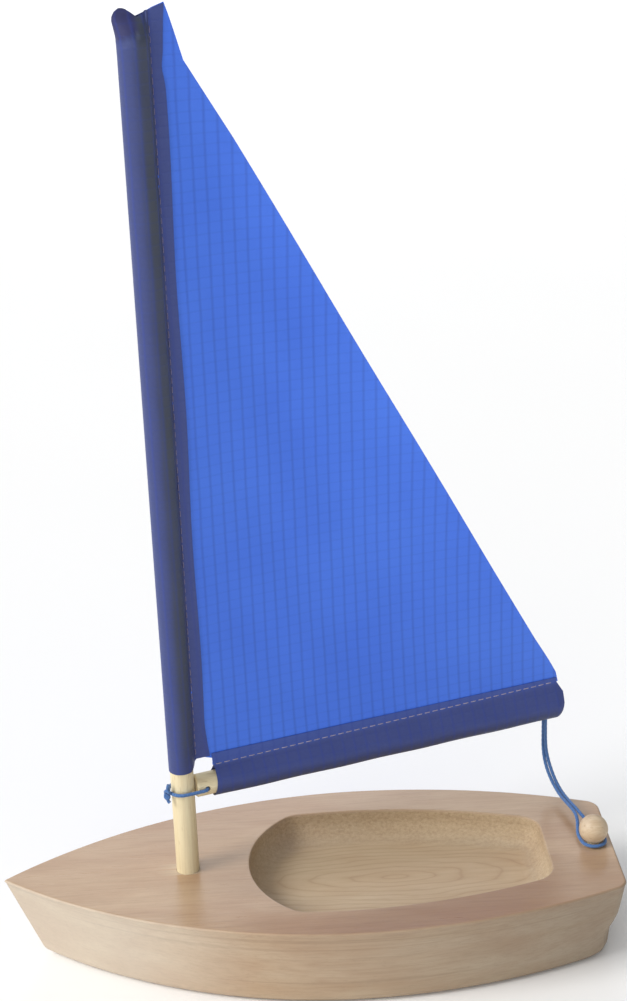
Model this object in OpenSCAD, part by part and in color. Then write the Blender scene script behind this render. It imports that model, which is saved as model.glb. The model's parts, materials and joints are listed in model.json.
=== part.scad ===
// A toy sailing boat: a solid wooden hull with a hollowed cockpit, a dowel mast and boom,
// a cloth sail sewn round both, a cord that ties the boom to the mast, and a looped cord
// that holds the boom's end to a ball-headed peg at the stern.
// X points to the bow, Y to port and Z up. The origin is the middle of the flat bottom.

/* [Hull] */
// Length of the deck from the bow's tip to the transom
hull_length = 254; // [220:1:310]
// Breadth of the deck at its widest
hull_beam = 109; // [96:1:132]
// Height of the hull from its flat bottom to the deck
hull_height = 37; // [32:0.5:46]
// How far behind mid length the hull is widest
widest_aft = 21; // [0:1:40]
// Breadth of the deck at the transom, before its corners are rounded
transom_breadth = 65; // [50:1:80]
// How much narrower the bottom is than the deck, on each side
side_flare = 6; // [3:0.5:10]
// How far the foot of the stem lies behind the bow's tip
stem_rake = 15; // [5:1:25]
// How far the foot of the transom lies ahead of its top
transom_rake = 5; // [0:0.5:10]
// Radius of the transom's corners, seen from above
stern_corner_r = 7; // [3:0.5:12]
// Radius of the rounded edge round the bottom
bottom_edge_r = 4; // [2:0.5:6]
// Width of the sanded edge round the deck
gunwale_edge = 0.8; // [0.4:0.1:1.5]

/* [Cockpit] */
// Length of the cockpit's opening
cockpit_length = 124; // [100:1:140]
// Breadth of the cockpit's opening at its widest
cockpit_breadth = 75; // [60:1:80]
// Breadth of the cockpit's opening at its aft wall, before its corners are rounded
cockpit_aft_breadth = 44; // [36:1:56]
// How far behind its front end the cockpit is widest
cockpit_widest = 39; // [30:1:60]
// Depth of the cockpit's floor under the deck
cockpit_depth = 13; // [9:0.5:20]
// Deck between the mast's axis and the cockpit
cockpit_behind_mast = 25.5; // [18:0.5:40]
// Radius of the cockpit's rounded front end
cockpit_front_r = 45; // [42:1:60]
// Radius of the cockpit's corners
cockpit_corner_r = 10.5; // [10.5:0.5:18]
// Radius between the cockpit's walls and its floor
cockpit_floor_r = 9; // [4:0.5:10]

/* [Mast and boom] */
// Diameter of the mast's dowel
mast_d = 9.5; // [8:0.1:12]
// Height of the mast above the deck
mast_height = 339; // [280:1:410]
// Distance of the mast's axis behind the bow's tip
mast_from_bow = 76.5; // [65:0.5:95]
// Depth of the mast's hole in the hull
mast_hole_depth = 24; // [18:1:28]
// Diameter of the boom's dowel
boom_d = 9.5; // [8:0.1:12]
// Height of the boom's axis above the deck
boom_height = 38; // [30:1:50]
// Length of the boom behind its hole for the sheet
boom_tail = 6; // [4:0.5:10]
// Distance between the mast's axis and the hole for the lashing
lashing_hole_from_mast = 9.2; // [9:0.1:12]
// Width of the broken edge at a dowel's ends
dowel_edge = 0.6; // [0.2:0.1:1]
// Angle that the boom is swung to starboard
boom_swing = 18; // [0:1:20]

/* [Sail] */
// Thickness of the sail's solid
sail_thickness = 1; // [0.8:0.1:1.4]
// Thickness of the cloth round the mast and the boom
sleeve_wall = 0.65; // [0.5:0.05:0.9]
// Height of the sail's head above the mast's top
head_rise = 11; // [8:0.5:16]
// Width of the sail's head behind the mast's axis
head_width = 12; // [9:0.5:16]
// Width of the square gap at the sail's tack, behind the luff sleeve
tack_gap_width = 7.5; // [6:0.5:12]
// Height of the gap at the tack above the foot sleeve
tack_gap_height = 7.5; // [5:0.5:12]
// Height of the luff sleeve's lower end above the boom's axis
luff_sleeve_rise = 7; // [6.5:0.5:10]
// Height of the seam along the foot above the foot sleeve
foot_seam_rise = 2.8; // [1.5:0.1:5]
// Length of one stitch
stitch_length = 2.6; // [1.5:0.1:2.8]
// Distance from one stitch to the next
stitch_pitch = 3.6; // [3:0.1:5]
// Thickness of the sewing thread
thread_d = 0.4; // [0.3:0.05:0.6]

/* [Cord and peg] */
// Diameter of the blue cord
cord_d = 1.5; // [1.2:0.1:1.6]
// Diameter of the wooden ball on the peg
ball_d = 12.1; // [10:0.1:14]
// Diameter of the peg's pin
pin_d = 5; // [4:0.1:6]
// Depth of the pin's hole in the hull
pin_hole_depth = 15; // [10:1:20]
// Depth of the pin's hole in the ball
ball_hole_depth = 7; // [5:0.5:8]
// Gap under the ball, where the cord goes round the pin
neck_gap = 0.75; // [0.5:0.05:2]
// Distance of the peg's axis from the transom
peg_from_transom = 8; // [7:0.5:14]

/* [Fits] */
// Radial clearance of a glued dowel in its hole, and of cloth on the boom
glue_clearance = 0.05; // [0.02:0.01:0.1]
// Radial clearance of what turns round the mast
turn_clearance = 0.35; // [0.3:0.05:0.6]
// Radial clearance of the cord in its holes
cord_clearance = 0.4; // [0.3:0.05:0.8]

/* [Hidden] */

overcut = 1;
deck_z = hull_height;
bow_x = hull_length / 2;
transom_x = -hull_length / 2;
mast_x = bow_x - mast_from_bow;
peg_x = transom_x + peg_from_transom;
mast_r = mast_d / 2;
boom_r = boom_d / 2;
cord_r = cord_d / 2;
pin_r = pin_d / 2;
ball_r = ball_d / 2;

// Sections of the hull and the cockpit
side_points = 36;
edge_steps = 4;
slice = 0.01;
front_points = 6;
corner_points = 3;
cockpit_front_x = mast_x - cockpit_behind_mast;
cockpit_aft_x = cockpit_front_x - cockpit_length;
cockpit_floor_z = deck_z - cockpit_depth;
cockpit_widest_x = cockpit_front_x - cockpit_widest;

// Boom and sail: distances from the mast's axis along the boom, and heights
boom_z = deck_z + boom_height;
boom_start = mast_r + turn_clearance;
sheet_hole_from_peg = 4;
sheet_hole_at = mast_x - peg_x - sheet_hole_from_peg;
boom_end = sheet_hole_at + boom_tail;
mast_top_z = deck_z + mast_height;
luff_sleeve_r = mast_r + turn_clearance + sleeve_wall;
foot_sleeve_in_r = boom_r + glue_clearance;
foot_sleeve_r = foot_sleeve_in_r + sleeve_wall;
luff_sleeve_z = boom_z + luff_sleeve_rise;
foot_edge_z = boom_z + foot_sleeve_r - sleeve_wall / 2;
foot_seam_z = boom_z + foot_sleeve_r + foot_seam_rise;
luff_edge_at = luff_sleeve_r - sleeve_wall / 2;
seam_setback = 0.6;
luff_seam_at = luff_sleeve_r + seam_setback;
tack_at = luff_sleeve_r + tack_gap_width;
tack_z = foot_edge_z + tack_gap_height;
sleeve_overhang = 3;
sleeve_end = boom_end + sleeve_overhang;
sleeve_end_gap = 1;
clew_inset = 2.5;
clew_at = sleeve_end - clew_inset;
cap_gap = 0.6;
cap_z = mast_top_z + cap_gap;
cap_thickness = 0.8;
head_z = mast_top_z + head_rise;
seam_inset = 2;
strand_offset = 0.8;
lashing_hole_r = cord_r + cord_clearance;
sheet_hole_r = strand_offset + cord_r + cord_clearance;

// Corners of the sail's edge: those at its head, from the peak of its free edge and from
// the peak over the mast, and those at its clew, from the clew
peak_to_leech = [[0, 0], [3.5, -11.5], [11.5, -28]];
peaks_dip = [[-0.7, -4], [2, -1], [8, -4.5]];
leech_to_clew = [[-11.5, 34], [-1.3, 16], [0, 10]];

// Peg
ball_z = deck_z + neck_gap + ball_r;
ball_foot_z = ball_z - sqrt(pow(ball_r, 2) - pow(pin_r, 2));
pin_top_gap = 0.3;

// Lashing: one side of its loop, from the mast's side to the middle of the boom's hole,
// along the boom and across it
lash_gap = 0.3;
lash_across = max(mast_r, boom_r) + cord_r + lash_gap;
lashing_points = [
    [2.5, lash_across, 0], [4.5, lash_across, 0], [6.5, lash_across, 0],
    [lashing_hole_from_mast - 1.1, lash_across - 0.1, 0],
    [lashing_hole_from_mast - 0.3, lash_across - 0.6, 0],
    [lashing_hole_from_mast, lash_across - 1.6, 0],
    [lashing_hole_from_mast, lash_across - 3.6, 0], [lashing_hole_from_mast, 0, 0]];
lash_turn = 22.5;
knot_r = 1.7;
knot_at = [-mast_r - lash_gap - knot_r, -0.6, 0];
tail_r = 0.9 * cord_r;
tail_length = 5.5;
tail_tilts = [20, 155];
tail_turn = 10;

// Mainsheet: one strand, from inside its hole in the boom to the far side of the peg,
// as distances from the peg towards the boom's hole, across that line, above the deck, and
// from the middle of the two strands towards the hole. The other strand is opposite it.
sheet_points = [
    [52.5, 0.2, 42, 0.75], [52.5, 0.2, 37, 0.75], [52.5, 0.2, 32, 0.75],
    [52.5, 0.2, 27, 0.75], [52.4, 0.25, 22, 0.75], [51.8, 0.4, 17.5, 0.7],
    [50, 0.6, 13.6, 0.6], [47, 0.75, 10.4, 0.45], [43, 0.8, 7.8, 0.25], [38.5, 0.8, 6.1, 0],
    [34, 0.8, 5.2, 0], [29, 0.8, 5, 0], [24, 0.8, 5.2, 0], [19.5, 0.85, 5.4, 0],
    [15.5, 1.1, 5.1, 0], [12, 1.9, 4.2, 0], [9, 3.1, 3.1, 0], [6, 4.3, 2.1, 0],
    [2.5, 4.8, 1.6, 0], [-1.5, 4.7, 1.5, 0], [-4.2, 2.9, 1.5, 0], [-5.1, 0, 1.5, 0]];

// ---- Shapes that repeat ----

// Unit vector along v
function unit(v) = v / norm(v);

// Direction of the path p at its point i
function path_direction(p, i) = unit(p[min(i + 1, len(p) - 1)] - p[max(i - 1, 0)]);

// For each direction in t, a unit vector square to it that turns as little as it can
function path_sides(t, n, i = 0) =
    i == len(t) ? [] :
    let (m = unit(n - (n * t[i]) * t[i]))
    concat([m], path_sides(t, m, i + 1));

// A round cord of radius r along the path p. first is roughly square to its start.
module tube(p, r, first) {
    sides = 8;
    t = [for (i = [0:len(p) - 1]) path_direction(p, i)];
    n = path_sides(t, first);
    rings = [for (i = [0:len(p) - 1]) for (k = [0:sides - 1])
        p[i] + r * (cos(360 * k / sides) * n[i] + sin(360 * k / sides) * cross(t[i], n[i]))];
    walls = [for (i = [0:len(p) - 2]) for (k = [0:sides - 1])
        [i * sides + k, (i + 1) * sides + k,
         (i + 1) * sides + (k + 1) % sides, i * sides + (k + 1) % sides]];
    start = [for (k = [0:sides - 1]) k];
    end = [for (k = [sides - 1:-1:0]) (len(p) - 1) * sides + k];
    polyhedron(rings, concat(walls, [start, end]));
}

// A path given for one strand, with the strand opposite it added
function with_opposite(p) = concat(
    [for (q = p) [q[0] + opposite_reach(q), q[1], q[2]]],
    [for (i = [len(p) - 2:-1:0]) [p[i][0] - opposite_reach(p[i]), -p[i][1], p[i][2]]]);

// How far a point of a strand lies from the middle of the two along X
function opposite_reach(q) = len(q) > 3 ? q[3] : 0;

// An outline given for its port side, from the front, with its starboard side added
function both_sides(p) = concat(
    p, [for (i = [len(p) - 1:-1:p[0][1] > 0 ? 0 : 1]) [p[i][0], -p[i][1]]]);

// A dowel that stands on Z = 0, with broken edges
module dowel(r, length) {
    e = dowel_edge;
    rotate_extrude($fn = 96)
        polygon([[0, 0], [r - e, 0], [r, e], [r, length - e], [r - e, length], [0, length]]);
}

// Places what is drawn along X from the mast's axis in the boom's direction
module rig() {
    translate([mast_x, 0, 0])
        rotate([0, 0, 180 + boom_swing])
        children();
}

// A row of n stitches along X, through the sail
module stitches(n) {
    width = sail_thickness + thread_d;
    for (i = [0:n - 1])
        translate([i * stitch_pitch, -width / 2, -thread_d / 2])
            cube([stitch_length, width, thread_d]);
}

// ---- Hull ----

// Radius of the arc that runs from the widest point, where the half breadth is h, to a
// point d further along, where it is e
function arc_radius(h, e, d) = (pow(h - e, 2) + pow(d, 2)) / (2 * (h - e));

// Half breadth of that arc at the distance d from its widest point, where it is h
function arc_breadth(h, r, d) = h - r + sqrt(pow(r, 2) - pow(d, 2));

// Half breadth at x of a deck that comes to a point at front and is e at stern
function half_breadth(x, h, e, front, stern) =
    let (w = -widest_aft)
    let (r = x > w ? arc_radius(h, 0, front - w) : arc_radius(h, e, w - stern))
    arc_breadth(h, r, x - w);

// Outline at a share of the hull's height. The square keeps the bow sharp while the
// transom's corners are rounded.
module hull_outline(share) {
    low = 1 - share;
    front = bow_x - stem_rake * low;
    stern = transom_x + transom_rake * low;
    h = hull_beam / 2 - side_flare * low;
    e = transom_breadth / 2 - side_flare * low;
    xs = [for (i = [0:side_points]) front - (front - stern) * i / side_points];
    outline = both_sides([for (x = xs) [x, half_breadth(x, h, e, front, stern)]]);
    intersection() {
        polygon(outline);
        offset(r = stern_corner_r, $fn = 40)
            offset(delta = -stern_corner_r)
            union() {
                polygon(outline);
                translate([-widest_aft, -hull_beam])
                    square([hull_length, 2 * hull_beam]);
            }
    }
}

module hull_slice(z, inset) {
    translate([0, 0, z])
        linear_extrude(slice)
        offset(delta = -inset)
        hull_outline(z / hull_height);
}

module hull_block() {
    hull() {
        for (i = [0:edge_steps]) {
            a = 90 * i / edge_steps;
            hull_slice(bottom_edge_r * (1 - cos(a)), bottom_edge_r * (1 - sin(a)));
        }
        for (a = [0:45:90])
            hull_slice(deck_z - slice - gunwale_edge * (1 - sin(a)),
                       gunwale_edge * (1 - cos(a)));
    }
}

// Points along an arc from the angle a to b, without the first of them
function arc_points(centre, r, a, b, n) =
    [for (i = [1:n]) centre + r * [cos(a + (b - a) * i / n), sin(a + (b - a) * i / n)]];

function direction(v) = atan2(v[1], v[0]);

// Opening of the cockpit, drawn in by inset on every side: a round front end, two bowed
// sides and a straight aft wall. The corners between them touch both arcs.
module cockpit_outline(inset) {
    half = cockpit_breadth / 2;
    side_r = arc_radius(half, cockpit_aft_breadth / 2, cockpit_widest_x - cockpit_aft_x);
    corner_r = cockpit_corner_r;
    front_at = [cockpit_front_x - cockpit_front_r, 0];
    side_at = [cockpit_widest_x, half - side_r];
    reach = norm(side_at - front_at);
    front_reach = cockpit_front_r - corner_r;
    side_reach = side_r - corner_r;
    apart = acos((pow(front_reach, 2) + pow(reach, 2) - pow(side_reach, 2))
                 / (2 * front_reach * reach));
    turn = direction(side_at - front_at) + apart;
    corner_at = front_at + front_reach * [cos(turn), sin(turn)];
    aft_x = cockpit_aft_x + corner_r;
    aft_at = [aft_x, side_at[1] + sqrt(pow(side_reach, 2) - pow(aft_x - side_at[0], 2))];
    side_start = direction(corner_at - side_at);
    side_end = direction(aft_at - side_at);
    polygon(both_sides(concat(
        [[cockpit_front_x - inset, 0]],
        arc_points(front_at, cockpit_front_r - inset, 0, turn, front_points),
        arc_points(corner_at, corner_r - inset, turn, side_start, corner_points),
        arc_points(side_at, side_r - inset, side_start, side_end, front_points),
        arc_points(aft_at, corner_r - inset, side_end, 180, 2 * corner_points))));
}

module cockpit_slice(z, inset) {
    translate([0, 0, z])
        linear_extrude(slice)
        cockpit_outline(inset);
}

module cockpit_hollow() {
    hull() {
        for (i = [0:edge_steps]) {
            a = 90 * i / edge_steps;
            cockpit_slice(cockpit_floor_z + cockpit_floor_r * (1 - cos(a)),
                          cockpit_floor_r * (1 - sin(a)));
        }
        cockpit_slice(deck_z + overcut, 0);
    }
}

module hull_body() {
    color("burlywood")
    difference() {
        hull_block();
        cockpit_hollow();
        translate([mast_x, 0, deck_z - mast_hole_depth])
            cylinder(r = mast_r + glue_clearance, h = mast_hole_depth + overcut, $fn = 96);
        translate([peg_x, 0, deck_z - pin_hole_depth])
            cylinder(r = pin_r + glue_clearance, h = pin_hole_depth + overcut, $fn = 64);
    }
}

// ---- Mast, boom and peg ----

module mast() {
    color("wheat")
    translate([mast_x, 0, deck_z - mast_hole_depth])
        dowel(mast_r, mast_hole_depth + mast_height);
}

module boom() {
    color("wheat")
    rig()
    translate([0, 0, boom_z])
        difference() {
            translate([boom_start, 0, 0])
                rotate([0, 90, 0])
                dowel(boom_r, boom_end - boom_start);
            translate([lashing_hole_from_mast, 0, 0])
                rotate([90, 0, 0])
                cylinder(r = lashing_hole_r, h = 2 * boom_d, center = true, $fn = 48);
            translate([sheet_hole_at, 0, 0])
                cylinder(r = sheet_hole_r, h = 2 * boom_d, center = true, $fn = 48);
        }
}

module peg_ball() {
    color("tan")
    difference() {
        translate([peg_x, 0, ball_z])
            sphere(r = ball_r, $fn = 96);
        translate([peg_x, 0, ball_foot_z - overcut])
            cylinder(r = pin_r + glue_clearance, h = overcut + ball_hole_depth, $fn = 64);
    }
}

module peg_pin() {
    bottom = deck_z - pin_hole_depth;
    color("wheat")
    translate([peg_x, 0, bottom])
        dowel(pin_r, ball_foot_z + ball_hole_depth - pin_top_gap - bottom);
}

// ---- Sail ----

// The flat of the sail, from the foot sleeve to the head, and the closed end of the luff
// sleeve over the mast's top
module sail_outline() {
    peak = [head_width, head_z];
    mast_peak = [-luff_sleeve_r, head_z];
    clew = [clew_at, boom_z];
    polygon(concat(
        [[luff_edge_at, tack_z], [luff_edge_at, cap_z], [-luff_sleeve_r, cap_z]],
        [for (p = peaks_dip) mast_peak + p],
        [for (p = peak_to_leech) peak + p],
        [for (p = leech_to_clew) clew + p],
        [[clew_at, foot_edge_z], [tack_at, foot_edge_z], [tack_at, tack_z]]));
}

module luff_sleeve() {
    difference() {
        translate([0, 0, luff_sleeve_z])
            cylinder(r = luff_sleeve_r, h = cap_z + cap_thickness - luff_sleeve_z, $fn = 96);
        translate([0, 0, luff_sleeve_z - overcut])
            cylinder(r = luff_sleeve_r - sleeve_wall, h = cap_z - luff_sleeve_z + overcut,
                     $fn = 96);
    }
}

module foot_sleeve() {
    difference() {
        translate([tack_at, 0, boom_z])
            rotate([0, 90, 0])
            cylinder(r = foot_sleeve_r, h = sleeve_end - tack_at, $fn = 96);
        translate([tack_at - overcut, 0, boom_z])
            rotate([0, 90, 0])
            cylinder(r = foot_sleeve_in_r, h = boom_end + sleeve_end_gap - tack_at + overcut,
                     $fn = 96);
        translate([sheet_hole_at, 0, boom_z - 2 * boom_r])
            cylinder(r = sheet_hole_r, h = 2 * boom_r, $fn = 48);
    }
}

module sail() {
    color("royalblue")
    rig()
    union() {
        luff_sleeve();
        foot_sleeve();
        rotate([90, 0, 0])
            linear_extrude(sail_thickness, center = true)
            sail_outline();
    }
}

module luff_thread() {
    start = tack_z + seam_inset;
    color("mistyrose")
    rig()
    translate([luff_seam_at, 0, start])
        rotate([0, -90, 0])
        stitches(floor((cap_z - start) / stitch_pitch));
}

module foot_thread() {
    start = tack_at + seam_inset;
    color("mistyrose")
    rig()
    translate([start, 0, foot_seam_z])
        stitches(floor((clew_at - 2 * seam_inset - start) / stitch_pitch));
}

// ---- Cords ----

module lashing() {
    front = [for (a = [180 - lash_turn / 2:-lash_turn:90])
        [lash_across * cos(a), lash_across * sin(a), 0]];
    loop = with_opposite(concat(front, lashing_points));
    color("steelblue")
    rig()
    translate([0, 0, boom_z])
        union() {
            tube(loop, cord_r, [0, 0, 1]);
            translate(knot_at)
                sphere(r = knot_r, $fn = 32);
            for (tilt = tail_tilts)
                translate(knot_at)
                    rotate([0, -tilt, tail_turn])
                    cylinder(r = tail_r, h = tail_length, $fn = 24);
        }
}

module mainsheet() {
    hole = [mast_x - sheet_hole_at * cos(boom_swing), -sheet_hole_at * sin(boom_swing)];
    color("steelblue")
    translate([peg_x, 0, deck_z])
        rotate([0, 0, atan2(hole[1], hole[0] - peg_x)])
        tube(with_opposite(sheet_points), cord_r, [0, 1, 0]);
}

hull_body();  // hull
mast();
boom();
sail();
luff_thread();
foot_thread();
lashing();
mainsheet();
peg_ball();
peg_pin();
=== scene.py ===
"""A toy sailing boat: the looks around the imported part. Metres, X to the bow, Y to port."""

import json
import math

import bpy
import numpy as np
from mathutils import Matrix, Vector, noise


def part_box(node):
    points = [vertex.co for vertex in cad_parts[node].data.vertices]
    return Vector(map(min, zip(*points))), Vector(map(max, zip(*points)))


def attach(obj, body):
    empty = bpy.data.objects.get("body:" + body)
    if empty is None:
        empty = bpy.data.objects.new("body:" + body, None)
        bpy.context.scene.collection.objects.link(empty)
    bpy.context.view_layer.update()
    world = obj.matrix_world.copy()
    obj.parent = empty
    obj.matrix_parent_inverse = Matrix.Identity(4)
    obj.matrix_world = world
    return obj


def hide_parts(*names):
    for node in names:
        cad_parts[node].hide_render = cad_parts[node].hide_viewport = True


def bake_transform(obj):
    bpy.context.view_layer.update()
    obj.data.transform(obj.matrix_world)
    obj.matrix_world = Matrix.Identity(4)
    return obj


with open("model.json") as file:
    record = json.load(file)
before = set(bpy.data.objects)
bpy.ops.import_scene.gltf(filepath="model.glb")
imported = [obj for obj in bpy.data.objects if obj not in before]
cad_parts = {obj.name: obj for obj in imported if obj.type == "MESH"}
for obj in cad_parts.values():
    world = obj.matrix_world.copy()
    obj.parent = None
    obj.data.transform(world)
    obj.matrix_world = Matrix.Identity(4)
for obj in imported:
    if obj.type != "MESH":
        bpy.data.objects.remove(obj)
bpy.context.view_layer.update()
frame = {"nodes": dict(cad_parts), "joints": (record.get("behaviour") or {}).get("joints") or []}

MM = 0.001

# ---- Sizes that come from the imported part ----

HULL_LOW, HULL_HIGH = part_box("hull")
MAST_LOW, MAST_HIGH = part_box("mast")
BALL_LOW, BALL_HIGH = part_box("peg_ball")
BOW_X, STERN_X = HULL_HIGH.x, HULL_LOW.x
HALF_BEAM = HULL_HIGH.y
DECK_Z = HULL_HIGH.z
MAST_X = (MAST_LOW.x + MAST_HIGH.x) / 2
MAST_R = (MAST_HIGH.x - MAST_LOW.x) / 2
MAST_TOP = MAST_HIGH.z
BOOM_Z = frame["joints"][0]["pos_m"][2]
PEG_X = (BALL_LOW.x + BALL_HIGH.x) / 2
BOOM_R = MAST_R

# ---- Sizes that only the looks need, or that the source of the part repeats ----

BOOM_SWING = math.radians(18)
SHEET_HOLE_AT = 165.5 * MM
CORD_D = 1.5 * MM
PIN_R = 2.5 * MM

# Directions along the boom from the mast, and across it to starboard
ALONG = np.array([-math.cos(BOOM_SWING), -math.sin(BOOM_SWING), 0.0])
ACROSS = np.array([math.sin(BOOM_SWING), -math.cos(BOOM_SWING), 0.0])
MAST_FOOT = np.array([MAST_X, 0.0, 0.0])


def rig_point(r, across, z):
    """The place r along the boom from the mast's axis, across it, at the height z."""
    r, across, z = np.broadcast_arrays(r, across, z)
    up = np.array([0.0, 0.0, 1.0])
    return MAST_FOOT + r[..., None] * ALONG + across[..., None] * ACROSS + z[..., None] * up


# ---- Camera ----


def make_camera():
    place = Vector((0.0271, 0.6980, 0.4806))
    pitch, yaw, roll = (math.radians(a) for a in (22.0, -2.80, -2.08))
    forward = Vector((math.sin(yaw) * math.cos(pitch), -math.cos(yaw) * math.cos(pitch),
                      -math.sin(pitch)))
    level = Vector((-math.cos(yaw), -math.sin(yaw), 0.0))
    upright = level.cross(forward)
    right = math.cos(roll) * level + math.sin(roll) * upright
    up = -math.sin(roll) * level + math.cos(roll) * upright
    data = bpy.data.cameras.new("camera")
    data.lens = 70.37
    data.sensor_width = 36.0
    data.clip_start = 0.01
    camera = bpy.data.objects.new("camera", data)
    matrix = camera.matrix_world.copy()
    for row in range(3):
        matrix[row][0] = right[row]
        matrix[row][1] = up[row]
        matrix[row][2] = -forward[row]
        matrix[row][3] = place[row]
    camera.matrix_world = matrix
    bpy.context.scene.collection.objects.link(camera)
    bpy.context.scene.camera = camera


make_camera()

# ---- Meshes from points ----


def new_object(name, verts, faces, material, sharp_angle=40):
    mesh = bpy.data.meshes.new(name)
    mesh.from_pydata([tuple(map(float, v)) for v in verts], [], [tuple(map(int, f)) for f in faces])
    mesh.validate()
    mesh.update()
    mesh.shade_smooth()
    mesh.set_sharp_from_angle(angle=math.radians(sharp_angle))
    obj = bpy.data.objects.new(name, mesh)
    bpy.context.scene.collection.objects.link(obj)
    obj.data.materials.append(material)
    return obj


def set_attribute(obj, name, values):
    values = np.asarray(values, np.float32)
    kind = "FLOAT_VECTOR" if values.ndim == 2 else "FLOAT"
    attribute = obj.data.attributes.new(name, kind, "POINT")
    attribute.data.foreach_set("vector" if values.ndim == 2 else "value", values.ravel())


def closed_rings(n_rings, n, first=0):
    """Quads between rings of n points each, one after the other."""
    faces = []
    for i in range(n_rings - 1):
        a, b = first + i * n, first + (i + 1) * n
        faces += [(a + k, a + (k + 1) % n, b + (k + 1) % n, b + k) for k in range(n)]
    return faces


def smooth_path(points, step):
    """A curve through the points, with a point about every step."""
    p = np.array(points, float)
    p = np.vstack([2 * p[0] - p[1], p, 2 * p[-1] - p[-2]])
    out = []
    for i in range(1, len(p) - 2):
        n = max(2, int(math.ceil(np.linalg.norm(p[i + 1] - p[i]) / step)))
        for t in np.arange(n) / n:
            a = 2 * p[i]
            b = (p[i + 1] - p[i - 1]) * t
            c = (2 * p[i - 1] - 5 * p[i] + 4 * p[i + 1] - p[i + 2]) * t**2
            d = (3 * p[i] - p[i - 1] - 3 * p[i + 1] + p[i + 2]) * t**3
            out.append((a + b + c + d) / 2)
    out.append(p[-2])
    return np.array(out)


def swept(path, sides, radius_at):
    """The points and faces of a closed tube along the path, and its length.

    radius_at takes the angles round a ring and the length run so far."""
    path = np.array(path, float)
    ahead = np.gradient(path, axis=0)
    ahead /= np.linalg.norm(ahead, axis=1)[:, None]
    run = np.concatenate([[0], np.cumsum(np.linalg.norm(np.diff(path, axis=0), axis=1))])
    side = np.cross(ahead[0], [0.3, 0.5, 0.81])
    verts = []
    angles = 2 * math.pi * np.arange(sides) / sides
    for i in range(len(path)):
        side = side - ahead[i] * side.dot(ahead[i])
        side /= np.linalg.norm(side)
        other = np.cross(ahead[i], side)
        r = radius_at(angles, run[i])
        ring = path[i] + r[:, None] * (np.cos(angles)[:, None] * side + np.sin(angles)[:, None] * other)
        verts += list(ring)
    faces = closed_rings(len(path), sides)
    last = (len(path) - 1) * sides
    faces.append(tuple(range(sides - 1, -1, -1)))
    faces.append(tuple(range(last, last + sides)))
    return verts, faces, run[-1]


def laid_cord(name, points, diameter, material, step=0.35 * MM, sides=18):
    """A cord of three twisted strands along a curve through the points."""
    path = smooth_path(points, step)
    lay = 4.2 * diameter

    def radius(angles, run):
        turn = 1.5 * (angles - 2 * math.pi * run / lay)
        return diameter / 2 * (0.84 + 0.16 * np.abs(np.cos(turn)) ** 0.7)

    verts, faces, length = swept(path, sides, radius)
    return new_object(name, verts, faces, material, 80), path, length


# ---- Materials ----


def shader(name):
    material = bpy.data.materials.new(name)
    material.use_nodes = True
    nodes, links = material.node_tree.nodes, material.node_tree.links
    return material, nodes, links, nodes["Principled BSDF"]


def math_node(nodes, links, operation, a, b=None, clamp=False, offset=0.0):
    """One operation on numbers or sockets. offset is what MULTIPLY_ADD adds."""
    node = nodes.new("ShaderNodeMath")
    node.inputs[2].default_value = offset
    node.operation = operation
    node.use_clamp = clamp
    for socket, value in zip(node.inputs, (a, b)):
        if value is None:
            continue
        if isinstance(value, (int, float)):
            socket.default_value = value
        else:
            links.new(value, socket)
    return node.outputs[0]


def mix_colour(nodes, links, share, a, b, blend="MIX"):
    node = nodes.new("ShaderNodeMix")
    node.data_type = "RGBA"
    node.blend_type = blend
    for socket, value in ((node.inputs[0], share), (node.inputs[6], a), (node.inputs[7], b)):
        if isinstance(value, (int, float)):
            socket.default_value = value
        elif isinstance(value, tuple):
            socket.default_value = (*value, 1.0)
        else:
            links.new(value, socket)
    return node.outputs[2]


def stretched(nodes, links, scale, offset=(0, 0, 0)):
    """Object coordinates, moved and then scaled along each axis."""
    place = nodes.new("ShaderNodeTexCoord")
    move = nodes.new("ShaderNodeVectorMath")
    move.operation = "ADD"
    move.inputs[1].default_value = offset
    grow = nodes.new("ShaderNodeVectorMath")
    grow.operation = "MULTIPLY"
    grow.inputs[1].default_value = scale
    links.new(place.outputs["Object"], move.inputs[0])
    links.new(move.outputs[0], grow.inputs[0])
    return grow.outputs[0]


def noise_node(nodes, links, vector, scale=1.0, detail=4.0, roughness=0.55, distortion=0.0):
    node = nodes.new("ShaderNodeTexNoise")
    node.inputs["Scale"].default_value = scale
    node.inputs["Detail"].default_value = detail
    node.inputs["Roughness"].default_value = roughness
    node.inputs["Distortion"].default_value = distortion
    links.new(vector, node.inputs["Vector"])
    return node.outputs["Fac"]


def grain(nodes, links, scale, offset=(0, 0, 0), **settings):
    """Noise in the piece's own coordinates, drawn out along each axis."""
    return noise_node(nodes, links, stretched(nodes, links, scale, offset), **settings)


def scaled(nodes, links, value, factor):
    return math_node(nodes, links, "MULTIPLY", value, factor)


def ramp(nodes, links, value, stops):
    node = nodes.new("ShaderNodeValToRGB")
    elements = node.color_ramp.elements
    while len(elements) < len(stops):
        elements.new(0.5)
    for element, (position, colour) in zip(elements, stops):
        element.position = position
        colour = (colour,) * 3 if isinstance(colour, (int, float)) else colour
        element.color = (*colour, 1.0)
    links.new(value, node.inputs[0])
    return node.outputs[0]


def attribute(nodes, name):
    node = nodes.new("ShaderNodeAttribute")
    node.attribute_name = name
    return node


def srgb(r, g, b):
    """A colour in the shader's linear values from ordinary 0 to 255 ones."""
    return tuple(((c / 255 + 0.055) / 1.055) ** 2.4 if c > 10 else c / 255 / 12.92 for c in (r, g, b))


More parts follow.
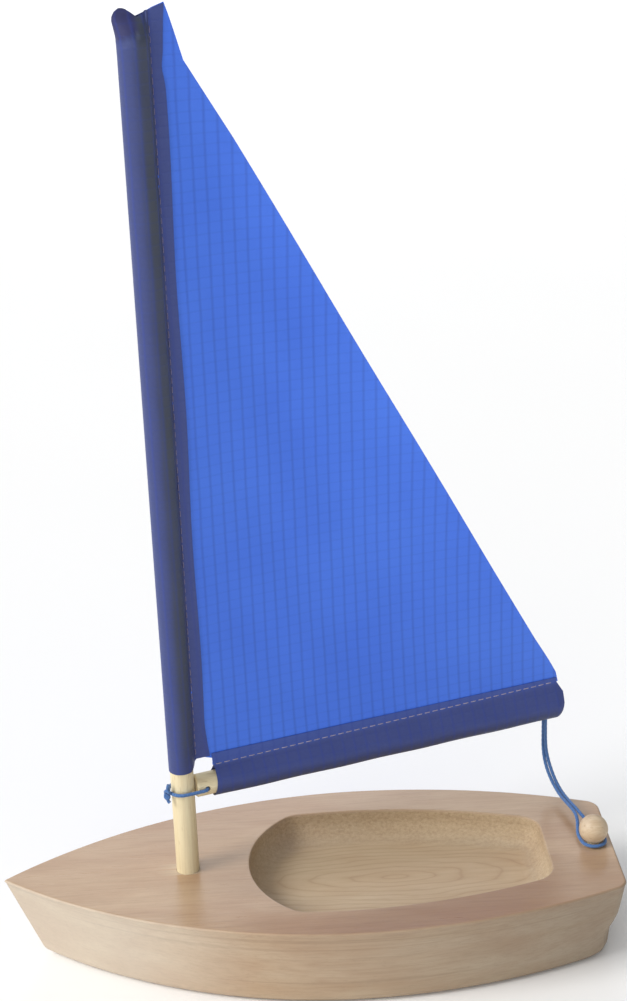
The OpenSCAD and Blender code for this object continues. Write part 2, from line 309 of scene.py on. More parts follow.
def bump(nodes, links, height, strength, distance, normal=None):
    node = nodes.new("ShaderNodeBump")
    node.inputs["Strength"].default_value = strength
    node.inputs["Distance"].default_value = distance
    links.new(height, node.inputs["Height"])
    if normal is not None:
        links.new(normal, node.inputs["Normal"])
    return node.outputs[0]


def hull_wood():
    """Oiled wood with its grain along X: satin deck, matt sides, rough cockpit walls."""
    material, nodes, links, main = shader("hull_wood")
    deck = attribute(nodes, "deck").outputs["Fac"]
    wall = attribute(nodes, "wall").outputs["Fac"]
    floor = attribute(nodes, "floor").outputs["Fac"]
    # growth rings round a pith that lies below the hull and to one side
    ring_place = stretched(nodes, links, (2.2, 62.0, 62.0), (0.0, 0.035, 0.060))
    wave = nodes.new("ShaderNodeTexWave")
    wave.wave_type = "RINGS"
    wave.rings_direction = "X"
    wave.inputs["Scale"].default_value = 0.55
    wave.inputs["Distortion"].default_value = 5.0
    wave.inputs["Detail"].default_value = 2.5
    wave.inputs["Detail Scale"].default_value = 0.55
    wave.inputs["Detail Roughness"].default_value = 0.55
    links.new(ring_place, wave.inputs["Vector"])
    rings = ramp(nodes, links, wave.outputs["Fac"],
                 [(0.0, 0.0), (0.72, 0.18), (0.93, 1.0), (1.0, 0.35)])
    bands = grain(nodes, links, (5.0, 25.0, 90.0), detail=3.0)
    fibres = grain(nodes, links, (40.0, 700.0, 1100.0), detail=5.0, roughness=0.7)
    pores = grain(nodes, links, (260.0, 2600.0, 2600.0), detail=2.0)
    streaks = grain(nodes, links, (2.0, 8.0, 420.0), (0.2, 0.1, 0.0), detail=2.0)
    speckle = grain(nodes, links, (700.0, 900.0, 900.0), detail=4.0, roughness=0.75)
    cloud = grain(nodes, links, (14.0, 26.0, 26.0), detail=2.0)
    pale, tan, red, dark = srgb(208, 188, 160), srgb(191, 165, 134), srgb(176, 142, 111), srgb(136, 108, 82)
    colour = mix_colour(nodes, links, ramp(nodes, links, bands, [(0.30, 0.0), (0.70, 1.0)]), pale, tan)
    colour = mix_colour(nodes, links, ramp(nodes, links, cloud, [(0.40, 0.0), (0.75, 0.5)]), colour, red)
    figure = grain(nodes, links, (17.0, 48.0, 48.0), (0.1, 0.0, 0.3), detail=5.0,
                        roughness=0.6, distortion=0.6)
    colour = mix_colour(nodes, links, ramp(nodes, links, figure, [(0.44, 0.0), (0.66, 0.42)]), colour, red)
    ring_share = scaled(nodes, links, rings, 0.17)
    colour = mix_colour(nodes, links, ring_share, colour, red)
    colour = mix_colour(nodes, links, ramp(nodes, links, fibres, [(0.45, 0.0), (0.75, 0.28)]), colour, dark)
    colour = mix_colour(nodes, links, ramp(nodes, links, streaks, [(0.63, 0.0), (0.68, 0.22)]), colour, dark)
    colour = mix_colour(nodes, links, ramp(nodes, links, pores, [(0.62, 0.0), (0.78, 0.30)]), colour, dark)
    deck_colour = mix_colour(nodes, links, 0.45, colour, srgb(212, 170, 138), "MULTIPLY")
    colour = mix_colour(nodes, links, scaled(nodes, links, deck, 0.75), colour, deck_colour)
    inside = math_node(nodes, links, "MAXIMUM", wall, floor)
    colour = mix_colour(nodes, links, scaled(nodes, links, inside, 0.35), colour, srgb(190, 168, 134))
    # the floor cuts through the growth rings, which show as nested ovals
    oval_place = stretched(nodes, links, (11.0, 52.0, 1.0), (0.035, 0.004, 0.0))
    drift = grain(nodes, links, (16.0, 40.0, 40.0), detail=3.0)
    length = nodes.new("ShaderNodeVectorMath")
    length.operation = "LENGTH"
    links.new(oval_place, length.inputs[0])
    reach = math_node(nodes, links, "ADD", length.outputs["Value"], scaled(nodes, links, drift, 0.5))
    oval = math_node(nodes, links, "PINGPONG", scaled(nodes, links, reach, 6.5), 0.5)
    oval_line = ramp(nodes, links, oval, [(0.0, 0.34), (0.09, 0.10), (0.30, 0.0)])
    colour = mix_colour(nodes, links, scaled(nodes, links, floor, oval_line), colour, srgb(150, 118, 88))
    # painted light and shade on the sides: paler and greyer towards the bow, where the key light falls, and
    # darker and cooler towards the stern
    place = nodes.new("ShaderNodeTexCoord")
    split = nodes.new("ShaderNodeSeparateXYZ")
    links.new(place.outputs["Object"], split.inputs[0])
    side = math_node(nodes, links, "SUBTRACT", 1.0, math_node(nodes, links, "ADD", deck, inside), True)
    painted_bow_light = scaled(nodes, links, side, ramp(
        nodes, links, scaled(nodes, links, split.outputs[0], 8.0), [(0.2, 0.0), (0.6, 0.40)]))
    colour = mix_colour(nodes, links, painted_bow_light, colour, srgb(214, 210, 200))
    # painted shade on the sides towards the stern, away from the key light
    painted_stern_shade = scaled(nodes, links, side, ramp(nodes, links, math_node(
        nodes, links, "MULTIPLY_ADD", split.outputs[0], 5.0, offset=0.6), [(0.05, 1.0), (0.9, 0.0)]))
    colour = mix_colour(nodes, links, painted_stern_shade, colour, (0.66, 0.71, 0.77), "MULTIPLY")
    grainy = ramp(nodes, links, speckle,
                  [(0.36, srgb(152, 128, 98)), (0.52, srgb(190, 168, 134)), (0.68, srgb(214, 196, 162))])
    colour = mix_colour(nodes, links, scaled(nodes, links, wall, 0.4), colour, grainy)
    links.new(colour, main.inputs["Base Color"])
    rough = math_node(nodes, links, "MULTIPLY_ADD", deck, -0.36, offset=0.60)
    rough = math_node(nodes, links, "ADD", rough, scaled(nodes, links, fibres, 0.10))
    rough = math_node(nodes, links, "ADD", rough, scaled(nodes, links, inside, 0.12), True)
    links.new(rough, main.inputs["Roughness"])
    main.inputs["Specular IOR Level"].default_value = 0.55
    first = bump(nodes, links, fibres, 0.35, 0.00018)
    tool = scaled(nodes, links, speckle, wall)
    second = bump(nodes, links, tool, 0.7, 0.0005, first)
    links.new(second, main.inputs["Normal"])
    return material


def dowel_wood(name, axis, pale, shade, dark):
    """Pale, close-grained dowel wood with its grain along the axis, 0 to 2 for X to Z."""
    material, nodes, links, main = shader(name)
    slow, medium, fast = 6.0, 320.0, 1900.0

    def along(across, lengthwise):
        scale = [across] * 3
        scale[axis] = lengthwise
        return tuple(scale)

    bands = grain(nodes, links, along(medium, slow), detail=3.0)
    fibres = grain(nodes, links, along(fast, 45.0), detail=4.0, roughness=0.7)
    flecks = grain(nodes, links, along(900.0, 160.0), (0.3, 0.1, 0.2), detail=1.0)
    colour = mix_colour(nodes, links, ramp(nodes, links, bands, [(0.32, 0.0), (0.70, 1.0)]), pale, shade)
    colour = mix_colour(nodes, links, ramp(nodes, links, fibres, [(0.50, 0.0), (0.80, 0.35)]), colour, dark)
    colour = mix_colour(nodes, links, ramp(nodes, links, flecks, [(0.66, 0.0), (0.74, 0.30)]), colour, dark)
    links.new(colour, main.inputs["Base Color"])
    rough = math_node(nodes, links, "MULTIPLY_ADD", fibres, 0.2, offset=0.42)
    links.new(rough, main.inputs["Roughness"])
    links.new(bump(nodes, links, fibres, 0.3, 0.00012), main.inputs["Normal"])
    return material


def sail_cloth():
    """Thin ripstop nylon. The attribute layer is 0 on one layer, 1 on the hems and 2 on the sleeves."""
    material, nodes, links, main = shader("sail_cloth")
    cloth = attribute(nodes, "cloth").outputs["Vector"]
    layer = attribute(nodes, "layer").outputs["Fac"]
    sleeve_shade = attribute(nodes, "sleeve_shade").outputs["Fac"]
    head_shade = attribute(nodes, "head_shade").outputs["Fac"]
    split = nodes.new("ShaderNodeSeparateXYZ")
    links.new(cloth, split.inputs[0])
    wobble = noise_node(nodes, links, cloth, 45.0, 2.0)

    def lines(value, pitch, width, drift):
        moved = math_node(nodes, links, "ADD", value, scaled(nodes, links, wobble, drift))
        share = math_node(nodes, links, "PINGPONG", math_node(nodes, links, "DIVIDE", moved, pitch), 0.5)
        return math_node(nodes, links, "SUBTRACT", 1.0, math_node(nodes, links, "DIVIDE", share, width), True)

    warp = lines(split.outputs[0], 5.0 * MM, 0.17, 0.4 * MM)
    weft = lines(split.outputs[1], 4.15 * MM, 0.13, 0.3 * MM)
    threads = nodes.new("ShaderNodeVectorMath")
    threads.operation = "MULTIPLY"
    threads.inputs[1].default_value = (5200.0, 5200.0, 1.0)
    links.new(cloth, threads.inputs[0])
    check = nodes.new("ShaderNodeTexChecker")
    check.inputs["Scale"].default_value = 1.0
    links.new(threads.outputs[0], check.inputs["Vector"])
    patch = noise_node(nodes, links, cloth, 14.0, 3.0)
    fine = noise_node(nodes, links, cloth, 700.0, 3.0)
    # painted light through the cloth: the single cloth is painted bright as if lit from behind, and the hems
    # and sleeves, two layers thick, are painted darker as shade
    panel = mix_colour(nodes, links, ramp(nodes, links, patch, [(0.3, 0.0), (0.7, 1.0)]),
                       srgb(69, 119, 237), srgb(76, 128, 244))
    hem = mix_colour(nodes, links, fine, srgb(62, 75, 135), srgb(70, 84, 147))
    sleeve = mix_colour(nodes, links, fine, srgb(57, 67, 116), srgb(63, 74, 126))
    colour = mix_colour(nodes, links, math_node(nodes, links, "MINIMUM", layer, 1.0), panel, hem)
    colour = mix_colour(nodes, links, math_node(nodes, links, "SUBTRACT", layer, 1.0, True), colour, sleeve)
    # painted shade on the sleeves, in dark grey
    colour = mix_colour(nodes, links, sleeve_shade, colour, srgb(67, 73, 79))
    # painted shade on the closed head of the luff sleeve
    colour = mix_colour(nodes, links, head_shade, colour, srgb(52, 54, 98))
    colour = mix_colour(nodes, links, scaled(nodes, links, warp, 0.27), colour, srgb(44, 66, 160))
    colour = mix_colour(nodes, links, scaled(nodes, links, weft, 0.09), colour, srgb(44, 66, 160))
    weave = scaled(nodes, links, check.outputs["Fac"], 0.05)
    colour = mix_colour(nodes, links, weave, colour, srgb(40, 60, 140))
    links.new(colour, main.inputs["Base Color"])
    main.inputs["Roughness"].default_value = 0.52
    main.inputs["Specular IOR Level"].default_value = 0.35
    main.inputs["Sheen Weight"].default_value = 0.06
    main.inputs["Sheen Roughness"].default_value = 0.4
    rise = math_node(nodes, links, "MAXIMUM", warp, weft)
    first = bump(nodes, links, rise, 0.35, 0.00012)
    second = bump(nodes, links, check.outputs["Fac"], 0.12, 0.00004, first)
    links.new(second, main.inputs["Normal"])
    return material


def cord_fibre(name, pale, dark):
    material, nodes, links, main = shader(name)
    fibres = grain(nodes, links, (2400.0, 2400.0, 2400.0), detail=4.0, roughness=0.7)
    cloud = grain(nodes, links, (180.0, 180.0, 180.0), detail=2.0)
    colour = mix_colour(nodes, links, ramp(nodes, links, fibres, [(0.35, 0.0), (0.70, 1.0)]), dark, pale)
    colour = mix_colour(nodes, links, scaled(nodes, links, cloud, 0.3), colour, dark)
    links.new(colour, main.inputs["Base Color"])
    main.inputs["Roughness"].default_value = 0.75
    main.inputs["Sheen Weight"].default_value = 0.25
    main.inputs["Sheen Roughness"].default_value = 0.5
    links.new(bump(nodes, links, fibres, 0.5, 0.00015), main.inputs["Normal"])
    return material


HULL_WOOD = hull_wood()
MAST_WOOD = dowel_wood("mast_wood", 2, srgb(240, 228, 192), srgb(222, 204, 164), srgb(176, 148, 104))
BOOM_WOOD = dowel_wood("boom_wood", 0, srgb(236, 222, 186), srgb(216, 198, 158), srgb(170, 142, 100))
BALL_WOOD = dowel_wood("ball_wood", 0, srgb(212, 192, 162), srgb(194, 168, 136), srgb(156, 124, 92))
CLOTH = sail_cloth()
CORD = cord_fibre("cord", srgb(92, 138, 196), srgb(48, 86, 142))
LUFF_THREAD = cord_fibre("luff_thread", srgb(140, 132, 164), srgb(104, 98, 132))
FOOT_THREAD = cord_fibre("foot_thread", srgb(186, 178, 194), srgb(140, 132, 158))

# ---- Cords ----

# One strand of the mainsheet, from inside its hole in the boom to the far side of the peg, in
# mm: distances from the peg towards that hole, across that line, and above the deck, and from
# the middle of the two strands towards the hole. The other strand is opposite it.
SHEET_POINTS = [
    (52.5, 0.2, 42, 0.75), (52.5, 0.2, 37, 0.75), (52.5, 0.2, 32, 0.75), (52.5, 0.2, 27, 0.75),
    (52.4, 0.25, 22, 0.75), (51.8, 0.4, 17.5, 0.7), (50, 0.6, 13.6, 0.6), (47, 0.75, 10.4, 0.45),
    (43, 0.8, 7.8, 0.25), (38.5, 0.8, 6.1, 0), (34, 0.8, 5.2, 0), (29, 0.8, 5, 0),
    (24, 0.8, 5.2, 0), (19.5, 0.85, 5.4, 0), (15.5, 1.1, 5.1, 0), (12, 1.9, 4.2, 0),
    (9, 3.1, 3.1, 0), (6, 4.3, 2.1, 0), (2.5, 4.8, 1.6, 0), (-1.5, 4.7, 1.5, 0),
    (-4.2, 2.9, 1.5, 0), (-5.1, 0, 1.5, 0)]


def make_mainsheet():
    """The looped cord between the boom's end and the peg."""
    peg = np.array([PEG_X, 0.0, DECK_Z])
    hole = MAST_FOOT + SHEET_HOLE_AT * ALONG
    towards = hole - np.array([PEG_X, 0.0, 0.0])
    towards /= np.linalg.norm(towards)
    across = np.cross([0.0, 0.0, 1.0], towards)

    def place(x, y, z):
        return peg + MM * (x * towards + y * across + np.array([0.0, 0.0, z]))

    points = [place(x + apart, y, z) for x, y, z, apart in SHEET_POINTS]
    points += [place(x - apart, -y, z) for x, y, z, apart in SHEET_POINTS[-2::-1]]
    obj, path, length = laid_cord("mainsheet_cord", points, CORD_D, CORD)
    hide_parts("mainsheet")
    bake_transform(obj)


def make_lashing():
    """The cord through the boom's cross hole and round the mast, with its small knot."""
    across = MAST_R + CORD_D / 2 + 0.3 * MM
    hole = 9.2 * MM
    side = [(across * math.cos(a), across * math.sin(a), 0.0)
            for a in np.radians(np.arange(168.75, 90, -22.5))]
    side += [(2.5 * MM, across, 0), (4.5 * MM, across, 0), (6.5 * MM, across, 0),
             (hole - 1.1 * MM, across - 0.1 * MM, 0), (hole - 0.3 * MM, across - 0.6 * MM, 0),
             (hole, across - 1.6 * MM, 0), (hole, across - 3.6 * MM, 0), (hole, 0, 0)]
    loop = side + [(p[0], -p[1], p[2]) for p in side[-2::-1]]
    points = [rig_point(p[0], p[1], BOOM_Z + p[2]) for p in loop]
    obj, _, _ = laid_cord("lashing_loop", points, CORD_D, CORD)
    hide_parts("lashing")
    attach(obj, "rig")
    # a small knot in front of the mast, and its two short ends
    knot_x = -MAST_R - 1.9 * MM
    ways = {
        "lashing_knot": [(0.9, -2.2, 0.2), (0.1, -2.4, 0.9), (-0.7, -1.7, 1.5), (-1.0, -0.8, 0.8),
                         (-0.6, -0.9, -0.5), (0.1, -1.7, -1.3), (-0.5, -2.2, -1.9), (-1.2, -1.4, -1.5),
                         (-1.0, -0.6, -0.6), (-0.2, -0.4, 0.4), (0.5, -0.9, 1.2)],
        "lashing_end_upper": [(0.3, -1.0, 0.8), (-0.1, -1.5, 2.0), (-0.2, -1.8, 3.2), (0.1, -2.1, 4.3)],
        "lashing_end_lower": [(-0.2, -1.3, -0.6), (-0.6, -1.7, -1.9), (-0.4, -2.1, -3.0),
                              (0.1, -2.6, -3.7)]}
    for name, way in ways.items():
        points = [rig_point(knot_x + p[0] * MM, p[1] * MM, BOOM_Z + p[2] * MM) for p in way]
        obj, _, _ = laid_cord(name, points, 1.4 * MM, CORD)
        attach(obj, "rig")


make_mainsheet()
make_lashing()

# ---- Hull ----

STEM_RAKE, TRANSOM_RAKE, FLARE = 15 * MM, 5 * MM, 6 * MM
TRANSOM_HALF = 32.5 * MM
WIDEST_X = -21 * MM
STERN_CORNER_R = 7 * MM
STEM_R = 0.5 * MM
BOTTOM_R = 4 * MM
GUNWALE_R = 0.8 * MM
COCKPIT_FRONT_X = MAST_X - 25.5 * MM
COCKPIT_AFT_X = COCKPIT_FRONT_X - 124 * MM
COCKPIT_WIDEST_X = COCKPIT_FRONT_X - 39 * MM
COCKPIT_HALF, COCKPIT_AFT_HALF = 37.5 * MM, 22 * MM
COCKPIT_FRONT_R = 45 * MM
COCKPIT_CORNER_R = 10.5 * MM
COCKPIT_FLOOR_Z = DECK_Z - 13 * MM
COCKPIT_FLOOR_R = 9 * MM
COCKPIT_EDGE_R = 0.7 * MM
MAST_HOLE_DEPTH, PIN_HOLE_DEPTH = 24 * MM, 15 * MM
# Where the rings of the hull's mesh lie: heights on its sides, shares of the way over the deck
# to the cockpit, and shares of the floor's reach
SIDE_HEIGHTS = (4.4, 6, 9, 13, 17, 21, 25, 29, 33)
DECK_SHARES = (0.006, 0.02, 0.06, 0.12, 0.2, 0.3, 0.4, 0.5, 0.6, 0.7, 0.8, 0.88, 0.94, 0.98, 0.994, 1.0)
FLOOR_SHARES = (0.985, 0.93, 0.85, 0.76, 0.67, 0.58, 0.49, 0.40, 0.31, 0.22, 0.13, 0.06)


def arc_radius(h, e, d):
    """Radius of the arc from the widest point, h wide, to one d further along, e wide."""
    return ((h - e) ** 2 + d**2) / (2 * (h - e))


def arc(centre, r, a, b, n):
    """n points along an arc from the angle a to b, without the first."""
    angles = a + (b - a) * np.arange(1, n + 1) / n
    return np.stack([centre[0] + r * np.cos(angles), centre[1] + r * np.sin(angles)], 1)


def hull_ring(share, inset):
    """The hull's outline at a share of its height, drawn in by inset, from the stem round to port."""
    low = 1 - share
    front, stern = BOW_X - STEM_RAKE * low, STERN_X + TRANSOM_RAKE * low
    h, e = HALF_BEAM - FLARE * low, TRANSOM_HALF - FLARE * low
    r_fore, r_aft = arc_radius(h, 0, front - WIDEST_X), arc_radius(h, e, WIDEST_X - stern)
    y_fore, y_aft = h - r_fore, h - r_aft
    c = STERN_CORNER_R
    tip_x = WIDEST_X + math.sqrt((r_fore - inset - STEM_R) ** 2 - y_fore**2)
    tip_turn = math.atan2(-y_fore, tip_x - WIDEST_X)
    corner = (stern + c, y_aft + math.sqrt((r_aft - c) ** 2 - (stern + c - WIDEST_X) ** 2))
    corner_turn = math.atan2(corner[1] - y_aft, corner[0] - WIDEST_X)
    flat = np.linspace(corner[1], 0, 31)[1:]
    port = np.vstack([
        [[tip_x + STEM_R, 0.0]],
        arc((tip_x, 0.0), STEM_R, 0, tip_turn, 5),
        arc((WIDEST_X, y_fore), r_fore - inset, tip_turn, math.pi / 2, 130),
        arc((WIDEST_X, y_aft), r_aft - inset, math.pi / 2, corner_turn, 105),
        arc(corner, c - inset, corner_turn, math.pi, 16),
        np.stack([np.full(30, stern + inset), flat], 1)])
    starboard = port[-2:0:-1] * [1, -1]
    return np.vstack([port, starboard])


def cockpit_radius(inset, angles, centre_x):
    """Distance from the cockpit's middle to its outline, drawn in by inset, at each angle."""
    half, c = COCKPIT_HALF, COCKPIT_CORNER_R
    side_r = arc_radius(half, COCKPIT_AFT_HALF, COCKPIT_WIDEST_X - COCKPIT_AFT_X)
    front = np.array([COCKPIT_FRONT_X - COCKPIT_FRONT_R, 0.0])
    side = np.array([COCKPIT_WIDEST_X, half - side_r])
    reach = np.linalg.norm(side - front)
    front_reach, side_reach = COCKPIT_FRONT_R - c, side_r - c
    apart = math.acos((front_reach**2 + reach**2 - side_reach**2) / (2 * front_reach * reach))
    turn = math.atan2(*(side - front)[::-1]) + apart
    corner = front + front_reach * np.array([math.cos(turn), math.sin(turn)])
    aft_x = COCKPIT_AFT_X + c
    aft = np.array([aft_x, side[1] + math.sqrt(side_reach**2 - (aft_x - side[0]) ** 2)])
    start = math.atan2(*(corner - side)[::-1])
    end = math.atan2(*(aft - side)[::-1])
    port = np.vstack([
        [[COCKPIT_FRONT_X - inset, 0.0]],
        arc(front, COCKPIT_FRONT_R - inset, 0, turn, 300),
        arc(corner, c - inset, turn, start, 200),
        arc(side, side_r - inset, start, end, 600),
        arc(aft, c - inset, end, math.pi, 300),
        [[COCKPIT_AFT_X + inset, y] for y in np.linspace(aft[1], 0, 200)[1:]]])
    rel = port - [centre_x, 0.0]
    at = np.arctan2(rel[:, 1], rel[:, 0])
    return np.interp(np.abs(angles), at, np.hypot(rel[:, 0], rel[:, 1]))


def make_hull():
    centre_x = (COCKPIT_FRONT_X + COCKPIT_AFT_X) / 2
    rings, deck, wall, floor = [], [], [], []

    def add(ring, z, is_deck=0.0, is_wall=0.0, is_floor=0.0):
        rings.append(np.column_stack([ring, np.full(len(ring), z)]))
        for values, value in ((deck, is_deck), (wall, is_wall), (floor, is_floor)):
            values.append(np.full(len(ring), value))

    for a in np.radians([0, 15, 30, 45, 60, 75, 90]):
        z = BOTTOM_R * (1 - math.cos(a))
        add(hull_ring(z / DECK_Z, BOTTOM_R * (1 - math.sin(a))), z)
    top = DECK_Z - GUNWALE_R
    for z in [height * MM for height in SIDE_HEIGHTS] + [top - 0.4 * MM]:
        add(hull_ring(z / DECK_Z, 0), z)
    for a in np.radians([0, 20, 40, 60, 75, 90]):
        add(hull_ring(1.0, GUNWALE_R * (1 - math.cos(a))), top + GUNWALE_R * math.sin(a),
            0.15 + 0.85 * (math.degrees(a) / 90) ** 2)
    outer = rings[-1][:, :2]
    rel = outer - [centre_x, 0.0]
    angles = np.arctan2(rel[:, 1], rel[:, 0])
    spoke = np.column_stack([np.cos(angles), np.sin(angles)])

    def hollow_ring(inset, share=1.0):
        return [centre_x, 0.0] + share * cockpit_radius(inset, angles, centre_x)[:, None] * spoke

    inner = hollow_ring(-COCKPIT_EDGE_R)
    for t in DECK_SHARES:
        add(outer * (1 - t) + inner * t, DECK_Z, 1.0)
    for a in np.radians([25, 45, 65, 90]):
        add(hollow_ring(-COCKPIT_EDGE_R * (1 - math.sin(a))), DECK_Z - COCKPIT_EDGE_R * (1 - math.cos(a)),
            0.6, 0.3)
    wall_foot = COCKPIT_FLOOR_Z + COCKPIT_FLOOR_R
    for z in (DECK_Z - COCKPIT_EDGE_R - 0.3 * MM, (DECK_Z + wall_foot) / 2 - 0.3 * MM,
              wall_foot + 0.2 * MM):
        add(hollow_ring(0.0), z, 0.0, 1.0)
    for a in np.radians([0, 9, 18, 27, 36, 45, 54, 63, 72, 81, 90]):
        share = math.degrees(a) / 90
        add(hollow_ring(COCKPIT_FLOOR_R * (1 - math.cos(a))), wall_foot - COCKPIT_FLOOR_R * math.sin(a),
            0.0, 1.0 - share**2, share**2)
    for share in FLOOR_SHARES:
        add(hollow_ring(COCKPIT_FLOOR_R, share), COCKPIT_FLOOR_Z, 0.0, 0.0, 1.0)

    n = len(outer)
    verts = np.vstack(rings)
    # the transom's lower corners are worn round, the port one more
    out = np.clip((np.abs(verts[:, 1]) - 14 * MM) / (12 * MM), 0, 1)
    back = np.clip((STERN_X + 16 * MM - verts[:, 0]) / (12 * MM), 0, 1)
    painted_shade = np.where(verts[:, 1] > 0, 2.0 * MM, 0.9 * MM)
    height = np.clip((24 * MM - verts[:, 2]) / (12 * MM), 0, 1)
    ease = (out * back * height) ** 2
    verts[:, 0] += ease * painted_shade * 1.1
    verts[:, 1] -= ease * painted_shade * np.sign(verts[:, 1])
    low_corner = out * back * np.clip((5 * MM - verts[:, 2]) / (5 * MM), 0, 1) ** 2
    verts[:, 2] += 1.1 * MM * low_corner
    # a hand-sanded surface is never quite even
    for i, v in enumerate(verts):
        if v[2] > 0.5 * MM:
            place = Vector((v[0] * 22, v[1] * 30, v[2] * 60))
            verts[i, 1] += 0.16 * MM * noise.noise(place) * (1 if abs(v[1]) > 2 * MM else 0)
            if v[2] < COCKPIT_FLOOR_Z + 9 * MM and abs(v[1]) < 40 * MM and BOTTOM_R < v[2]:
                verts[i, 2] += 0.12 * MM * noise.noise(place * 2.3)
    faces = closed_rings(len(rings), n)
    faces.append(tuple((n - k) % n for k in range(n)))
    verts = np.vstack([verts, [[centre_x, 0.0, COCKPIT_FLOOR_Z]]])
    last = (len(rings) - 1) * n
    faces += [(last + k, last + (k + 1) % n, len(verts) - 1) for k in range(n)]
    hull = new_object("hull_shaped", verts, faces, HULL_WOOD, 38)
    for name, values, end in (("deck", deck, 0.0), ("wall", wall, 0.0), ("floor", floor, 1.0)):
        set_attribute(hull, name, np.append(np.concatenate(values), end))
    drill(hull, MAST_X, 0.0, MAST_R + 0.12 * MM, MAST_HOLE_DEPTH)
    drill(hull, PEG_X, 0.0, PIN_R + 0.1 * MM, PIN_HOLE_DEPTH)
    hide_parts("hull")
    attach(hull, "hull_body")


def drill(obj, x, y, r, depth):
    """A round hole down from the deck."""
    sides = 96
    angles = 2 * math.pi * np.arange(sides) / sides
    ring = np.column_stack([x + r * np.cos(angles), y + r * np.sin(angles)])
    verts = [(*p, DECK_Z - depth) for p in ring] + [(*p, DECK_Z + 2 * MM) for p in ring]
    faces = closed_rings(2, sides)
    faces += [tuple(range(sides - 1, -1, -1)), tuple(range(sides, 2 * sides))]
    cutter = new_object("cutter", verts, faces, HULL_WOOD, 30)
    modifier = obj.modifiers.new("hole", "BOOLEAN")
    modifier.operation = "DIFFERENCE"
    modifier.solver = "EXACT"
    modifier.object = cutter
    bpy.context.view_layer.update()
    mesh = bpy.data.meshes.new_from_object(obj.evaluated_get(bpy.context.evaluated_depsgraph_get()))
    obj.modifiers.clear()
    mesh.set_sharp_from_angle(angle=math.radians(38))
    obj.data = mesh
    bpy.data.objects.remove(cutter)


make_hull()

# ---- Mast, boom and peg keep the part's own shapes ----

for node, material in (("mast", MAST_WOOD), ("boom", BOOM_WOOD),
                       ("peg_ball", BALL_WOOD), ("peg_pin", MAST_WOOD)):
    piece = frame["nodes"][node]
    piece.data.materials.clear()
    piece.data.materials.append(material)

# ---- Sail: heights and distances from the mast's axis, in the plane of the rig ----

CLOTH_T = 0.22 * MM
# the hems lie this far to port of the single cloth
HEM_LIFT = 0.42 * MM
STITCH_LENGTH, STITCH_PITCH, STITCH_R = 2.6 * MM, 3.6 * MM, 0.21 * MM
# the fold across the head of the luff sleeve
FOLD_Z, FOLD_SLOPE = 376 * MM, 0.45
LUFF_SEAM, LUFF_HEM = 5.9 * MM, 10.7 * MM
LUFF_FOOT_R, LUFF_TOP_R = MAST_R + 0.3 * MM, 5.75 * MM
FOOT_SLEEVE_R = BOOM_R + 0.4 * MM
FOOT_HEM_Z = 88.4 * MM
FOOT_SEAM_TACK_Z, FOOT_SEAM_CLEW_Z = 82.9 * MM, 86.2 * MM
TACK_AT, TACK_Z = 13.25 * MM, 87.5 * MM
LUFF_FOOT_Z = 84.2 * MM
CLEW_AT, SLEEVE_END = 172 * MM, 173.4 * MM
# the free edge, from the clew up
LEECH = np.array([(172, 80), (172, 85), (170.7, 91), (167, 98), (160.5, 109), (35.9, 336.7), (22.6, 359.5),
                  (18.2, 367), (15.6, 376.3), (13.9, 382.3), (12.1, 387.8)]) * MM
# the closed head, from the front of the luff sleeve to the peak
HEAD = np.array([(-7.2, 383.4), (-6.3, 385.6), (-4.6, 386.8), (-2.6, 386.6), (-0.4, 385.2), (1.6, 383.5),
                 (4.2, 384.6), (7.5, 386.3), (12.1, 387.8)]) * MM


def leech_at(z):
    return np.interp(z, LEECH[:, 1], LEECH[:, 0])


def head_at(r):
    return np.interp(r, HEAD[:, 0], HEAD[:, 1])


def foot_seam_z(r):
    share = np.clip((r - TACK_AT) / (CLEW_AT - TACK_AT), 0, 1)
    return FOOT_SEAM_TACK_Z + (FOOT_SEAM_CLEW_Z - FOOT_SEAM_TACK_Z) * share


def billow(r, z):
    """How far the single cloth stands to starboard of the rig's plane."""
    width = np.maximum(leech_at(z) - LUFF_SEAM, 1 * MM)
    u = np.clip((r - LUFF_SEAM) / width, 0, 1)
    v = np.clip((z - FOOT_HEM_Z) / (HEAD[-1, 1] - FOOT_HEM_Z), 0, 1)
    full = 5.5 * MM * np.sin(math.pi * u) ** 0.8 * np.sin(math.pi * v**0.75) * (1 - v * 0.5)
    crease = 0.28 * MM * np.sin((r * 0.8 + z * 0.45) * 230) * np.exp(-((r - 40 * MM) / (60 * MM)) ** 2)
    flutter = 0.7 * MM * np.sin(z * 52 + 1.0) * u**4 * np.sin(math.pi * v)
    pull = 0.35 * MM * np.sin(z * 150) * np.exp(-u * 9)
    fade = np.clip(v * 12, 0, 1) * np.clip((1 - v) * 10, 0, 1)
    return full + (crease * np.sin(math.pi * u) + flutter + pull) * fade


def shell(points, thickness):
    """Two faces and the rim round a grid of points, with the vertices in the grid's order, front face first.
    """
    rows, cols = points.shape[:2]
    across = np.gradient(points, axis=1)
    along = np.gradient(points, axis=0)
    normal = np.cross(across, along)
    normal /= np.maximum(np.linalg.norm(normal, axis=2), 1e-12)[..., None]
    verts = np.vstack([(points + normal * thickness / 2).reshape(-1, 3),
                       (points - normal * thickness / 2).reshape(-1, 3)])
    index = np.arange(rows * cols).reshape(rows, cols)
    back = index + rows * cols
    faces = []
    for i in range(rows - 1):
        for j in range(cols - 1):
            faces.append((index[i, j], index[i, j + 1], index[i + 1, j + 1], index[i + 1, j]))
            faces.append((back[i, j], back[i + 1, j], back[i + 1, j + 1], back[i, j + 1]))
    rim = [(i, 0) for i in range(rows)] + [(rows - 1, j) for j in range(1, cols)]
    rim += [(i, cols - 1) for i in range(rows - 2, -1, -1)] + [(0, j) for j in range(cols - 2, 0, -1)]
    for a, b in zip(rim, rim[1:] + rim[:1]):
        faces.append((index[a], index[b], back[b], back[a]))
    return verts, faces


